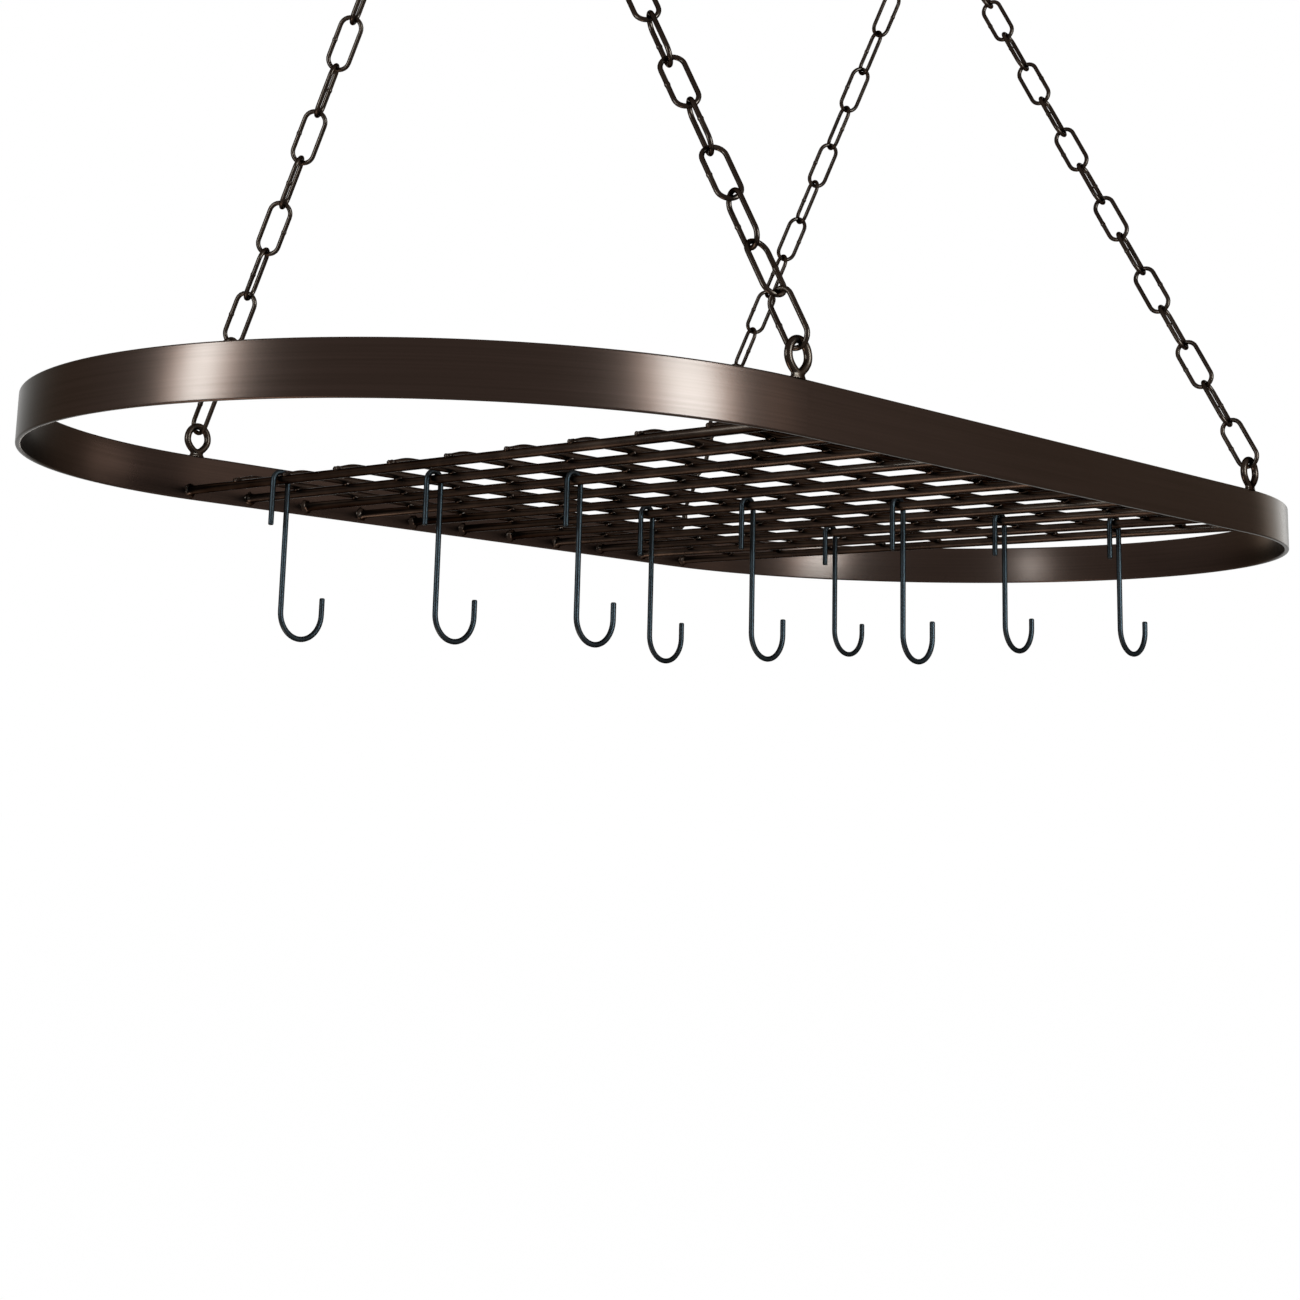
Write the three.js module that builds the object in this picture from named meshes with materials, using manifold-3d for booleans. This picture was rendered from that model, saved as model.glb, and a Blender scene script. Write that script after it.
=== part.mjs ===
// Hanging pot rack: an oval rim of flat strip round a welded grid of round rods, hung on four
// chains from two ceiling hooks, with nine wire hooks on the grid for pans.
//
// Units are millimetres and +Z is up. The origin is on the ceiling, midway between the two
// ceiling hooks. X runs along the rack, Y across it, and the front side is at -Y.

import * as THREE from 'three';
import { mergeVertices } from 'three/addons/utils/BufferGeometryUtils.js';
import Module from 'manifold-3d';

const wasm = await Module();
wasm.setup();

// ---------------------------------------------------------------- driving dimensions

// Clear gap left between two pieces that touch on the real rack.
const SEAT_GAP = 0.3;

// Oval rim: flat strip on edge, two straight sides and two half-round ends.
const RIM_LENGTH = 838;
const RIM_WIDTH = 432;
const RIM_HEIGHT = 25;
const RIM_THICKNESS = 2.6;
const RIM_EDGE_ROUND = 0.6;

// Grid: cross rods run across the rim, long rods lie on top of them.
const ROD_PITCH = 42.4;
const GRID_LENGTH = 430;
const GRID_SIDE_MARGIN = 34;
const CROSS_ROD_DIAMETER = 5;
const CROSS_ROD_HEIGHT = 5;
const LONG_ROD_DIAMETER = 4.5;
const LONG_ROD_OVERHANG = 2.5;
const LONG_ROD_END_DIAMETER = 2.4;
const LONG_ROD_TAPER = 6;
const WELD_BEAD_DIAMETER = 7.5;
const WELD_BEAD_LENGTH = 3;

// Eyes welded on the rim's top edge.
const EYE_SPACING = 416;
const EYE_OUTER_DIAMETER = 18.7;
const EYE_WIRE = 3.9;
const EYE_FOOT_WIDTH = 9;
const EYE_FOOT_THICKNESS = 3.2;

// Chains: welded oval links, each turned a quarter turn from the next.
const LINKS_PER_CHAIN = 16;
const LINKS_PER_RUN = 3;
const LINK_LENGTH = 32.6;
const LINK_WIDTH = 14.5;
const LINK_WIRE = 2.6;
// Links inside one run sink into each other by this much where they bear.
const LINK_BEARING_SINK = 0.4;
// A hanging chain settles with a twist: up to this many degrees a link, at both of its ends,
// until its middle has rolled by the angle given here for each chain.
const LINK_TWIST = 12;
const CHAIN_ROLL = { left_front: -44, left_rear: 40, right_front: 6, right_rear: -24 };

// Ceiling hooks: bent wire below a round collar, wood screw above it.
const CEILING_HOOK_WIRE = 5;
const CEILING_HOOK_LOOP_RADIUS = 12;
const CEILING_HOOK_NECK_RADIUS = 6;
const CEILING_HOOK_SHANK = 8;
const CEILING_HOOK_TIP_ANGLE = 145;
const COLLAR_DIAMETER = 22;
const COLLAR_THICKNESS = 2.5;
const SCREW_LENGTH = 28;
const SCREW_DIAMETER = 4.6;

// Pan hooks: a narrow bend over the rod, a long leg and a wide bend that holds the pan.
const PAN_HOOK_WIRE = 3;
const PAN_HOOK_LENGTH = 91;
const SHORT_PAN_HOOK_LENGTH = 80;
const PAN_HOOK_TOP_WIDTH = 13;
const PAN_HOOK_RETURN = 30.5;
const SHORT_PAN_HOOK_RETURN = 26;
const PAN_HOOK_BAY_WIDTH = 31;
const PAN_HOOK_TIP_RISE = 24.5;
const SHORT_PAN_HOOK_TIP_RISE = 21;
const PAN_HOOK_SIDE_CLEARANCE = 0.4;

// Where each pan hook hangs: the cross rod and the gap between long rods, both counted from
// the middle, and how far over it hangs in that gap, from 0 at its front to 1 at its rear.
const PAN_HOOK_PLACES = [
  { rod: -5, gap: 3, across: 0.02, short: false },
  { rod: -4, gap: 1, across: 0.30, short: false },
  { rod: -3, gap: -1, across: 0.98, short: false },
  { rod: 0, gap: 1, across: 0.33, short: false },
  { rod: 0, gap: -1, across: 0.60, short: false },
  { rod: 3, gap: 0, across: 0.48, short: true },
  { rod: 1, gap: -3, across: 0.98, short: false },
  { rod: 3, gap: -3, across: 0.66, short: true },
  { rod: 4, gap: -4, across: 0.46, short: true },
];

// Facets.
const RIM_END_STEPS = 40;
const ROD_SIDES = 8;
const LINK_SIDES = 6;
const LINK_BEND_STEPS = 4;
const EYE_SIDES = 6;
const EYE_STEPS = 16;
const PAN_HOOK_SIDES = 6;
const CEILING_HOOK_SIDES = 8;
const COLLAR_SIDES = 16;

// ---------------------------------------------------------------- materials

const metal = (color, roughness) => new THREE.MeshStandardMaterial({ color, roughness, metalness: 0.85 });
const bronze = () => metal(0x3a2e28, 0.38);
const chainBronze = () => metal(0x2e2420, 0.42);
const hookSteel = () => metal(0x33393d, 0.5);

// ---------------------------------------------------------------- solids from closed meshes

function toSolid(geometry) {
  const bare = geometry.clone();
  bare.deleteAttribute('normal');
  bare.deleteAttribute('uv');
  const merged = mergeVertices(bare, 1e-4);
  return new wasm.Manifold(new wasm.Mesh({
    numProp: 3,
    vertProperties: new Float32Array(merged.attributes.position.array),
    triVerts: new Uint32Array(merged.index.array),
  }));
}

function toGeometry(solid) {
  const mesh = solid.getMesh();
  const geometry = new THREE.BufferGeometry();
  geometry.setAttribute('position', new THREE.BufferAttribute(mesh.vertProperties, 3));
  geometry.setIndex(new THREE.BufferAttribute(mesh.triVerts, 1));
  geometry.computeVertexNormals();
  return geometry;
}

const fuse = (geometries) => toGeometry(geometries.map(toSolid).reduce((all, next) => all.add(next)));

// ---------------------------------------------------------------- bent wire

// Stations along an arc in the XY plane: each holds a point and the direction of travel there.
function arc(x, y, radius, startDegrees, endDegrees, steps) {
  const turn = Math.sign(endDegrees - startDegrees);
  return Array.from({ length: steps + 1 }, (_, i) => {
    const angle = THREE.MathUtils.degToRad(THREE.MathUtils.lerp(startDegrees, endDegrees, i / steps));
    return {
      x: x + radius * Math.cos(angle),
      y: y + radius * Math.sin(angle),
      heading: angle + turn * Math.PI / 2,
    };
  });
}

const straight = (x, y, headingDegrees) => ({ x, y, heading: THREE.MathUtils.degToRad(headingDegrees) });

// A rounded cut end: the wire narrows over the last part of its length.
function roundedTip(end, wireRadius, direction) {
  const reach = direction * wireRadius * 0.5;
  return {
    x: end.x + reach * Math.cos(end.heading),
    y: end.y + reach * Math.sin(end.heading),
    heading: end.heading,
    scale: 0.55,
  };
}

// Round wire through flat stations, as one closed mesh. A closed wire joins its ends.
function bentWire(stations, wireRadius, sides, closed) {
  const positions = [];
  for (const { x, y, heading, scale = 1 } of stations) {
    for (let side = 0; side < sides; side++) {
      const angle = 2 * Math.PI * side / sides;
      const out = wireRadius * scale * Math.cos(angle);
      positions.push(x + out * Math.sin(heading), y - out * Math.cos(heading));
      positions.push(wireRadius * scale * Math.sin(angle));
    }
  }
  const count = stations.length;
  const index = [];
  const spans = closed ? count : count - 1;
  for (let ring = 0; ring < spans; ring++) {
    for (let side = 0; side < sides; side++) {
      const next = (side + 1) % sides;
      const here = ring * sides;
      const there = ((ring + 1) % count) * sides;
      index.push(here + side, there + side, here + next);
      index.push(here + next, there + side, there + next);
    }
  }
  if (!closed) {
    for (let side = 1; side < sides - 1; side++) {
      const last = (count - 1) * sides;
      index.push(0, side, side + 1);
      index.push(last, last + side + 1, last + side);
    }
  }
  const geometry = new THREE.BufferGeometry();
  geometry.setAttribute('position', new THREE.Float32BufferAttribute(positions, 3));
  geometry.setIndex(index);
  geometry.computeVertexNormals();
  return geometry;
}

// ---------------------------------------------------------------- layout worked out from the sizes

const rimEndX = (RIM_LENGTH - RIM_WIDTH) / 2;
const rimOuterRadius = RIM_WIDTH / 2;
const rimInnerRadius = rimOuterRadius - RIM_THICKNESS;
const rimMiddleRadius = rimOuterRadius - RIM_THICKNESS / 2;

// Half the width of the oval of that end radius, at a distance x from the middle.
function ovalHalfWidth(radius, x) {
  const past = Math.max(0, Math.abs(x) - rimEndX);
  return Math.sqrt(radius * radius - past * past);
}

const crossRodRadius = CROSS_ROD_DIAMETER / 2;
const longRodRadius = LONG_ROD_DIAMETER / 2;
const crossRodsEachSide = Math.floor(GRID_LENGTH / 2 / ROD_PITCH);
const longRodsEachSide = Math.floor((rimInnerRadius - GRID_SIDE_MARGIN) / ROD_PITCH);

// Chain: distances along it, measured from the middle of the eye's wire towards the ceiling.
const linkWireRadius = LINK_WIRE / 2;
const linkCentreLength = LINK_LENGTH - LINK_WIRE;
const linkBendRadius = (LINK_WIDTH - LINK_WIRE) / 2;
const eyeWireRadius = EYE_WIRE / 2;
const eyeRadius = EYE_OUTER_DIAMETER / 2 - eyeWireRadius;
const ceilingWireRadius = CEILING_HOOK_WIRE / 2;
const firstLinkStart = -(eyeWireRadius + linkWireRadius + SEAT_GAP);

// The lower end of each link. A new run starts after every LINKS_PER_RUN links.
function linkStart(link) {
  let start = firstLinkStart;
  for (let i = 1; i <= link; i++) {
    const sameRun = i % LINKS_PER_RUN !== 0 && i < LINKS_PER_CHAIN - 1;
    const bearing = LINK_WIRE + (sameRun ? -LINK_BEARING_SINK : SEAT_GAP);
    start += linkCentreLength - bearing;
  }
  return start;
}

const topLinkEnd = linkStart(LINKS_PER_CHAIN - 1) + linkCentreLength;
const hookWireAlongChain = topLinkEnd - (ceilingWireRadius + linkWireRadius + SEAT_GAP);

// Each chain points at the middle of the ceiling hook's loop, so its top link sits square on
// the bent wire there.
const eyeX = EYE_SPACING / 2;
const eyeY = ovalHalfWidth(rimMiddleRadius, eyeX);
const neckDrop = Math.sqrt(
  (CEILING_HOOK_NECK_RADIUS + CEILING_HOOK_LOOP_RADIUS) ** 2 - CEILING_HOOK_NECK_RADIUS ** 2);
const neckZ = -(COLLAR_THICKNESS + CEILING_HOOK_SHANK);
const loopZ = neckZ - neckDrop;
const loopToEyeWire = hookWireAlongChain + CEILING_HOOK_LOOP_RADIUS;
const eyeWireZ = loopZ - Math.sqrt(loopToEyeWire ** 2 - eyeY ** 2);
const chainLean = Math.asin(eyeY / loopToEyeWire);
const eyeZ = eyeWireZ - eyeRadius;
const rimTopZ = eyeZ - EYE_OUTER_DIAMETER / 2 - SEAT_GAP;
const rimBottomZ = rimTopZ - RIM_HEIGHT;
const crossRodZ = rimBottomZ + CROSS_ROD_HEIGHT;
const longRodZ = crossRodZ + crossRodRadius + SEAT_GAP + longRodRadius;

// ---------------------------------------------------------------- sub-parts

const rack = new THREE.Group();

function addMesh(parent, name, geometry, material) {
  const mesh = new THREE.Mesh(geometry, material);
  mesh.name = name;
  parent.add(mesh);
  return mesh;
}

function ovalOutline(target, radius) {
  target.absarc(rimEndX, 0, radius, -Math.PI / 2, Math.PI / 2, false);
  target.absarc(-rimEndX, 0, radius, Math.PI / 2, Math.PI * 3 / 2, false);
  target.closePath();
  return target;
}

function addRim() {
  const outline = ovalOutline(new THREE.Shape(), rimOuterRadius);
  outline.holes.push(ovalOutline(new THREE.Path(), rimInnerRadius));
  const geometry = new THREE.ExtrudeGeometry(outline, {
    depth: RIM_HEIGHT - 2 * RIM_EDGE_ROUND,
    curveSegments: RIM_END_STEPS / 2,
    bevelThickness: RIM_EDGE_ROUND,
    bevelSize: RIM_EDGE_ROUND,
    bevelOffset: -RIM_EDGE_ROUND,
    bevelSegments: 1,
  });
  const rim = addMesh(rack, 'rim_band', geometry, bronze());
  rim.position.z = rimBottomZ + RIM_EDGE_ROUND;
}

// Cross rod with a fillet of weld at each end, where it meets the rim's inner face.
function crossRodGeometry(length) {
  const end = length / 2;
  const bead = WELD_BEAD_DIAMETER / 2;
  const half = [
    [0, end],
    [bead, end],
    [crossRodRadius, end - WELD_BEAD_LENGTH],
  ];
  const lower = half.map(([radius, y]) => new THREE.Vector2(radius, -y));
  const upper = half.map(([radius, y]) => new THREE.Vector2(radius, y)).reverse();
  return new THREE.LatheGeometry([...lower, ...upper], ROD_SIDES);
}

function addCrossRods() {
  for (let i = -crossRodsEachSide; i <= crossRodsEachSide; i++) {
    const x = i * ROD_PITCH;
    const reach = ovalHalfWidth(rimInnerRadius, Math.abs(x) + WELD_BEAD_DIAMETER / 2) - SEAT_GAP;
    const number = String(i + crossRodsEachSide + 1).padStart(2, '0');
    const rod = addMesh(rack, `cross_rod_${number}`, crossRodGeometry(2 * reach), bronze());
    rod.position.set(x, 0, crossRodZ);
  }
}

function addLongRods() {
  const end = crossRodsEachSide * ROD_PITCH + LONG_ROD_OVERHANG;
  const shoulder = end - LONG_ROD_TAPER;
  const tip = LONG_ROD_END_DIAMETER / 2;
  const profile = [
    new THREE.Vector2(0, -end),
    new THREE.Vector2(tip, -end),
    new THREE.Vector2(longRodRadius, -shoulder),
    new THREE.Vector2(longRodRadius, shoulder),
    new THREE.Vector2(tip, end),
    new THREE.Vector2(0, end),
  ];
  for (let i = -longRodsEachSide; i <= longRodsEachSide; i++) {
    const name = `long_rod_${i + longRodsEachSide + 1}`;
    const rod = addMesh(rack, name, new THREE.LatheGeometry(profile, ROD_SIDES), bronze());
    rod.rotation.z = -Math.PI / 2;
    rod.position.set(0, i * ROD_PITCH, longRodZ);
  }
}

// Closed eye with the foot that is welded to the rim's top edge.
function eyeGeometry() {
  const ring = bentWire(arc(0, 0, eyeRadius, 0, 360, EYE_STEPS).slice(0, -1), eyeWireRadius, EYE_SIDES, true);
  const bottom = -EYE_OUTER_DIAMETER / 2;
  const foot = new THREE.Shape();
  foot.moveTo(-EYE_FOOT_WIDTH / 2, bottom);
  foot.lineTo(EYE_FOOT_WIDTH / 2, bottom);
  foot.lineTo(EYE_FOOT_WIDTH * 0.4, bottom + EYE_WIRE * 0.3);
  foot.lineTo(EYE_FOOT_WIDTH * 0.42, bottom + EYE_WIRE * 0.75);
  foot.lineTo(-EYE_FOOT_WIDTH * 0.42, bottom + EYE_WIRE * 0.75);
  foot.lineTo(-EYE_FOOT_WIDTH * 0.4, bottom + EYE_WIRE * 0.3);
  const weld = new THREE.ExtrudeGeometry(foot, { depth: EYE_FOOT_THICKNESS, bevelEnabled: false });
  weld.translate(0, 0, -EYE_FOOT_THICKNESS / 2);
  return fuse([ring, weld]).rotateX(Math.PI / 2);
}

// How far a link is turned about its chain, in degrees. Every second link starts across the
// rack. The roll leaves both end links square to the eye and the ceiling hook that hold them.
function linkTurn(link, chainRoll) {
  const fromNearerEnd = Math.max(0, Math.min(link, LINKS_PER_CHAIN - 2 - link));
  const roll = Math.min(Math.abs(chainRoll), LINK_TWIST * fromNearerEnd);
  return (link % 2 === 0 ? 90 : 0) + Math.sign(chainRoll) * roll;
}

// One link with its long axis on Z and its lower end at the given height. The wire's middle
// line is two half circles joined by straight sides.
function linkGeometry(start, turnDegrees) {
  const topBend = linkCentreLength - linkBendRadius;
  const stations = [
    ...arc(0, topBend, linkBendRadius, 0, 180, LINK_BEND_STEPS),
    ...arc(0, linkBendRadius, linkBendRadius, 180, 360, LINK_BEND_STEPS),
  ];
  const link = bentWire(stations, linkWireRadius, LINK_SIDES, true);
  link.rotateX(Math.PI / 2);
  link.rotateZ(THREE.MathUtils.degToRad(turnDegrees));
  return link.translate(0, 0, start);
}

// A chain from its eye up to its ceiling hook: runs of joined links, then the loose top link.
function addChain(end, side) {
  const place = `${end < 0 ? 'left' : 'right'}_${side < 0 ? 'front' : 'rear'}`;
  const chain = new THREE.Group();
  chain.position.set(end * eyeX, side * eyeY, eyeWireZ);
  chain.rotation.x = side * chainLean;
  rack.add(chain);

  const lastRunLink = LINKS_PER_CHAIN - 1;
  for (let first = 0; first < lastRunLink; first += LINKS_PER_RUN) {
    const run = [];
    for (let link = first; link < Math.min(first + LINKS_PER_RUN, lastRunLink); link++) {
      run.push(linkGeometry(linkStart(link), linkTurn(link, CHAIN_ROLL[place])));
    }
    addMesh(chain, `chain_${place}_${first / LINKS_PER_RUN + 1}`, fuse(run), chainBronze());
  }
  const top = linkGeometry(linkStart(lastRunLink), linkTurn(lastRunLink, CHAIN_ROLL[place]));
  addMesh(chain, `top_link_${place}`, top, chainBronze());

  const eye = addMesh(rack, `eye_${place}`, eyeGeometry(), bronze());
  eye.position.set(end * eyeX, side * eyeY, eyeZ);
}

// Ceiling hook: the wire leaves the shank by a small neck bend and turns back into the loop.
function ceilingHookGeometry() {
  const neckAngle = THREE.MathUtils.radToDeg(Math.atan2(neckDrop, CEILING_HOOK_NECK_RADIUS));
  const shankTop = -COLLAR_THICKNESS / 2;
  const loop = arc(0, loopZ, CEILING_HOOK_LOOP_RADIUS, neckAngle, CEILING_HOOK_TIP_ANGLE - 360, 12);
  const neck = [
    straight(0, shankTop, -90),
    ...arc(CEILING_HOOK_NECK_RADIUS, neckZ, CEILING_HOOK_NECK_RADIUS, 180, 180 + neckAngle, 4),
  ];
  const tip = roundedTip(loop[loop.length - 1], ceilingWireRadius, 1);
  const stations = [...neck, ...loop.slice(1), tip];
  const bent = bentWire(stations, ceilingWireRadius, CEILING_HOOK_SIDES, false);
  bent.rotateX(Math.PI / 2).rotateZ(Math.PI / 2);

  const collar = COLLAR_DIAMETER / 2;
  const screw = SCREW_DIAMETER / 2;
  const profile = [
    [0, -COLLAR_THICKNESS],
    [collar * 0.6, -COLLAR_THICKNESS],
    [collar * 0.93, -COLLAR_THICKNESS * 0.6],
    [collar, -COLLAR_THICKNESS * 0.2],
    [collar, 0],
    [screw, 0],
    [screw, SCREW_LENGTH * 0.75],
    [0, SCREW_LENGTH],
  ];
  const points = profile.map(([radius, z]) => new THREE.Vector2(radius, z));
  const turned = new THREE.LatheGeometry(points, COLLAR_SIDES);
  turned.rotateX(Math.PI / 2);
  return fuse([bent, turned]);
}

function addCeilingHook(end) {
  const name = `ceiling_hook_${end < 0 ? 'left' : 'right'}`;
  const hook = addMesh(rack, name, ceilingHookGeometry(), chainBronze());
  hook.position.x = end * eyeX;
}

// Pan hook, drawn upright with the middle of its rod at the origin.
function panHookGeometry(length, returnLength, tipRise) {
  const wireRadius = PAN_HOOK_WIRE / 2;
  const topRadius = (PAN_HOOK_TOP_WIDTH - PAN_HOOK_WIRE) / 2;
  const bayRadius = (PAN_HOOK_BAY_WIDTH - PAN_HOOK_WIRE) / 2;
  const crest = crossRodRadius + SEAT_GAP + wireRadius;
  const topZ = crest - topRadius;
  const bottom = crest + wireRadius - length + wireRadius;
  const returnEnd = straight(-topRadius, crest + wireRadius * 1.5 - returnLength, 90);
  const tipEnd = straight(topRadius + 2 * bayRadius, bottom + tipRise - wireRadius * 1.5, 90);
  const stations = [
    roundedTip(returnEnd, wireRadius, -1),
    returnEnd,
    ...arc(0, topZ, topRadius, 180, 0, 6),
    ...arc(topRadius + bayRadius, bottom + bayRadius, bayRadius, 180, 360, 7),
    tipEnd,
    roundedTip(tipEnd, wireRadius, 1),
  ];
  return bentWire(stations, wireRadius, PAN_HOOK_SIDES, false).rotateX(Math.PI / 2);
}

function addPanHooks() {
  const sideRoom = longRodRadius + PAN_HOOK_WIRE / 2 + PAN_HOOK_SIDE_CLEARANCE;
  const longHook = panHookGeometry(PAN_HOOK_LENGTH, PAN_HOOK_RETURN, PAN_HOOK_TIP_RISE);
  const shortHook = panHookGeometry(SHORT_PAN_HOOK_LENGTH, SHORT_PAN_HOOK_RETURN, SHORT_PAN_HOOK_TIP_RISE);
  PAN_HOOK_PLACES.forEach((place, i) => {
    const rod = THREE.MathUtils.clamp(place.rod, -crossRodsEachSide, crossRodsEachSide);
    const fromRod = sideRoom + place.across * (ROD_PITCH - 2 * sideRoom);
    const hook = addMesh(rack, `pan_hook_${i + 1}`, place.short ? shortHook : longHook, hookSteel());
    hook.position.set(rod * ROD_PITCH, place.gap * ROD_PITCH + fromRod, crossRodZ);
  });
}

addRim();
addCrossRods();
addLongRods();
for (const end of [-1, 1]) {
  addCeilingHook(end);
  for (const side of [-1, 1]) addChain(end, side);
}
addPanHooks();

export default rack;
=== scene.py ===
"""Looks for the hanging pot rack: fine wires, strip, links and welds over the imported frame."""
import math

import bmesh
import bpy
from mathutils import Matrix, Vector, noise


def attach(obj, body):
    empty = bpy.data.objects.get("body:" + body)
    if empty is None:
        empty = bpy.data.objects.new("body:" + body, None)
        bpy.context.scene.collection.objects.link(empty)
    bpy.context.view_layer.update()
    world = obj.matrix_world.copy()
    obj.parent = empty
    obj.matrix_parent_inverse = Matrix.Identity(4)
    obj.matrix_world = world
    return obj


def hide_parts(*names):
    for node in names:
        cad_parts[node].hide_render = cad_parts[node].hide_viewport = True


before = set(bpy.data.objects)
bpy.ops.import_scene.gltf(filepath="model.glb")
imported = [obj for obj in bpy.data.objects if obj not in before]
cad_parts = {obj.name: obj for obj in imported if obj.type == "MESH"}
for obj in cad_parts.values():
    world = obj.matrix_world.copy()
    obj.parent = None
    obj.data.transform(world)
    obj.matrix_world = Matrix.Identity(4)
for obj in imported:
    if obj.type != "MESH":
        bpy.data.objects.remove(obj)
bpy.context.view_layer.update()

MM = 0.001

# ---------------------------------------------------------------- sizes of the rack, in mm

SEAT_GAP = 0.3
RIM_LENGTH, RIM_WIDTH, RIM_HEIGHT, RIM_THICKNESS = 838, 432, 25, 2.6
ROD_PITCH, CROSS_ROD_DIAMETER, LONG_ROD_DIAMETER = 42.4, 5, 4.5
CROSS_RODS_EACH_SIDE, LONG_RODS_EACH_SIDE = 5, 4
CROSS_ROD_HEIGHT = 5

# The long rods reach past the outer cross rods and settle into them, and their ends bend down.
LONG_ROD_OVERHANG, LONG_ROD_SETTLE = 2.5, 0.75
ROD_END_BEND, ROD_END_DIP, ROD_END_RADIUS = 16, 1.8, 1.15

EYE_SPACING, EYE_OUTER_DIAMETER, EYE_WIRE = 416, 18.7, 3.9
EYE_RING_HALF_WIDTH, EYE_PINCH = 6.9, 0.3

# Links of one run sink into each other by LINK_SINK, and runs keep SEAT_GAP between them.
LINKS_PER_CHAIN, LINKS_PER_RUN = 16, 3
LINK_LENGTH, LINK_WIDTH, LINK_WIRE, LINK_SINK = 32.6, 14.5, 2.6, 0.4

# LINK_TWIST is the most that a link is rolled beyond the link before it, in degrees, and
# CHAIN_ROLL is what the middle links of each chain reach.
LINK_TWIST = 12
CHAIN_ROLL = {"left_front": -44, "left_rear": 40, "right_front": 6, "right_rear": -24}

HOOK_WIRE, LOOP_RADIUS, NECK_RADIUS, SHANK, TIP_ANGLE = 5, 12, 6, 8, 145
COLLAR_DIAMETER, COLLAR_THICKNESS = 22, 2.5
SCREW_LENGTH, SCREW_DIAMETER = 28, 4.6

# A pan hook's lengths are its whole height, its back leg and the rise to its tip.
PAN_WIRE, PAN_TOP_WIDTH, PAN_BAY_WIDTH, PAN_SIDE_ROOM = 3, 13, 31, 0.4
PAN_LONG = {"length": 91, "back": 30.5, "rise": 24.5}
PAN_SHORT = {"length": 80, "back": 26, "rise": 21}

# Each pan hook: its cross rod and the long rod in front of it, both counted from the middle,
# its share of the way to the next long rod, and its kind.
PAN_PLACES = [
    (-5, 3, 0.02, PAN_LONG), (-4, 1, 0.30, PAN_LONG), (-3, -1, 0.98, PAN_LONG),
    (0, 1, 0.33, PAN_LONG), (0, -1, 0.60, PAN_LONG), (3, 0, 0.48, PAN_SHORT),
    (1, -3, 0.98, PAN_LONG), (3, -3, 0.66, PAN_SHORT), (4, -4, 0.46, PAN_SHORT),
]

rim_end_x = (RIM_LENGTH - RIM_WIDTH) / 2
rim_outer = RIM_WIDTH / 2
rim_inner = rim_outer - RIM_THICKNESS
rim_middle = rim_outer - RIM_THICKNESS / 2
cross_radius, long_radius = CROSS_ROD_DIAMETER / 2, LONG_ROD_DIAMETER / 2
link_radius, eye_wire_radius, hook_radius = LINK_WIRE / 2, EYE_WIRE / 2, HOOK_WIRE / 2
link_bend = (LINK_WIDTH - LINK_WIRE) / 2
link_centre_length = LINK_LENGTH - LINK_WIRE
eye_radius = EYE_OUTER_DIAMETER / 2 - eye_wire_radius


def oval_half_width(radius, x):
    """Half the width at x of an oval that runs at `radius` round its two end centres."""
    past = max(0.0, abs(x) - rim_end_x)
    return math.sqrt(radius * radius - past * past)


def link_start(link):
    """Where the middle of a link's lower bend lies along its chain, counted from the eye's wire."""
    start = -(eye_wire_radius + link_radius + SEAT_GAP)
    for i in range(1, link + 1):
        same_run = i % LINKS_PER_RUN != 0 and i < LINKS_PER_CHAIN - 1
        start += link_centre_length - (LINK_WIRE + (-LINK_SINK if same_run else SEAT_GAP))
    return start


eye_x = EYE_SPACING / 2
eye_y = oval_half_width(rim_middle, eye_x)
neck_drop = math.sqrt((NECK_RADIUS + LOOP_RADIUS) ** 2 - NECK_RADIUS ** 2)
neck_z = -(COLLAR_THICKNESS + SHANK)
loop_z = neck_z - neck_drop
top_link_end = link_start(LINKS_PER_CHAIN - 1) + link_centre_length
loop_to_eye = top_link_end - (hook_radius + link_radius + SEAT_GAP) + LOOP_RADIUS
eye_wire_z = loop_z - math.sqrt(loop_to_eye ** 2 - eye_y ** 2)
chain_lean = math.asin(eye_y / loop_to_eye)
eye_z = eye_wire_z - eye_radius
rim_top_z = eye_z - EYE_OUTER_DIAMETER / 2 - SEAT_GAP
rim_bottom_z = rim_top_z - RIM_HEIGHT
cross_z = rim_bottom_z + CROSS_ROD_HEIGHT
long_z = cross_z + cross_radius + SEAT_GAP + long_radius

UPRIGHT = Matrix.Rotation(math.pi / 2, 4, "X")
ALONG_Y = Matrix.Rotation(-math.pi / 2, 4, "X")

# ---------------------------------------------------------------- mesh helpers


def add_object(name, verts, faces, smooth=True):
    """verts in mm; the object stands in metres at the origin."""
    mesh = bpy.data.meshes.new(name)
    mesh.from_pydata([tuple(c * MM for c in v) for v in verts], [], faces)
    mesh.validate()
    mesh.polygons.foreach_set("use_smooth", [smooth] * len(mesh.polygons))
    mesh.update()
    obj = bpy.data.objects.new(name, mesh)
    bpy.context.scene.collection.objects.link(obj)
    return obj


def finish_piece(obj, body, nodes, material):
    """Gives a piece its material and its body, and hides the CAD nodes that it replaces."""
    obj.data.materials.clear()
    obj.data.materials.append(material)
    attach(obj, body)
    if nodes:
        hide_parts(*nodes)


def circle(sides):
    """(cosine, sine) of evenly spaced angles round a circle."""
    angles = [2 * math.pi * side / sides for side in range(sides)]
    return [(math.cos(angle), math.sin(angle)) for angle in angles]


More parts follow.
